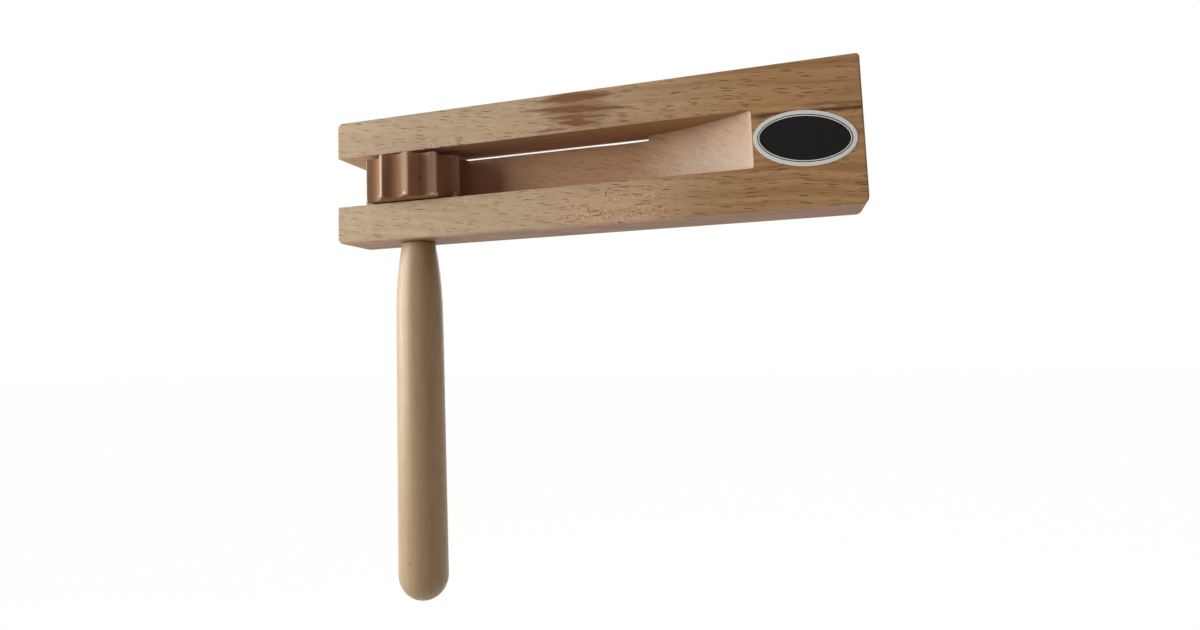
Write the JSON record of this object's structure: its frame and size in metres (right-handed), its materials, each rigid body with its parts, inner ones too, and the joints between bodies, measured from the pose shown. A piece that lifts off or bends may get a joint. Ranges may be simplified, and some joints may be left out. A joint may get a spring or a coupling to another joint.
{
  "type": "wooden ratchet",
  "caption": "Hand ratchet: a slotted wooden block swings round a turned handle, and the cog on the handle's axle flicks a springy tongue in the block's groove to make a rattle.",
  "frame": {"origin": "on the axle's axis, in the middle of the hand's grip on the handle", "axes": "+Z along the axle, from the handle's butt to the block; +X along the block, from the axle to its solid end; +Y out of the block's back face"},
  "size_m": [0.195, 0.0424, 0.19],
  "materials": {
    "handle_wood": "turned and sanded, silky",
    "cog_wood": "cut across the grain, raw",
    "nail_steel": "dull",
    "block_beech": "planed beech, thin clear oil",
    "tongue_beech": "sawn and milled beech",
    "label_film": "blank printed sticker"
  },
  "bodies": {
    "spindle": {"handle": "handle_wood", "cog_wheel": "cog_wood", "cog_nail": "nail_steel"},
    "frame": {"body_block": "block_beech", "label": "label_film"},
    "tongue": {"tongue": "tongue_beech"}
  },
  "joints": [
    {"name": "swing", "type": "hinge", "parent": "spindle", "child": "frame", "pos_m": [0, 0, 0.103], "axis": [0, 0, 1], "continuous": true},
    {"name": "tongue_flex", "type": "hinge", "parent": "frame", "child": "tongue", "pos_m": [0.09296, 0.012, 0.103], "axis": [0, 0, -1], "range_deg": [0, 4], "stiffness_Nm_per_rad": 15}
  ]
}
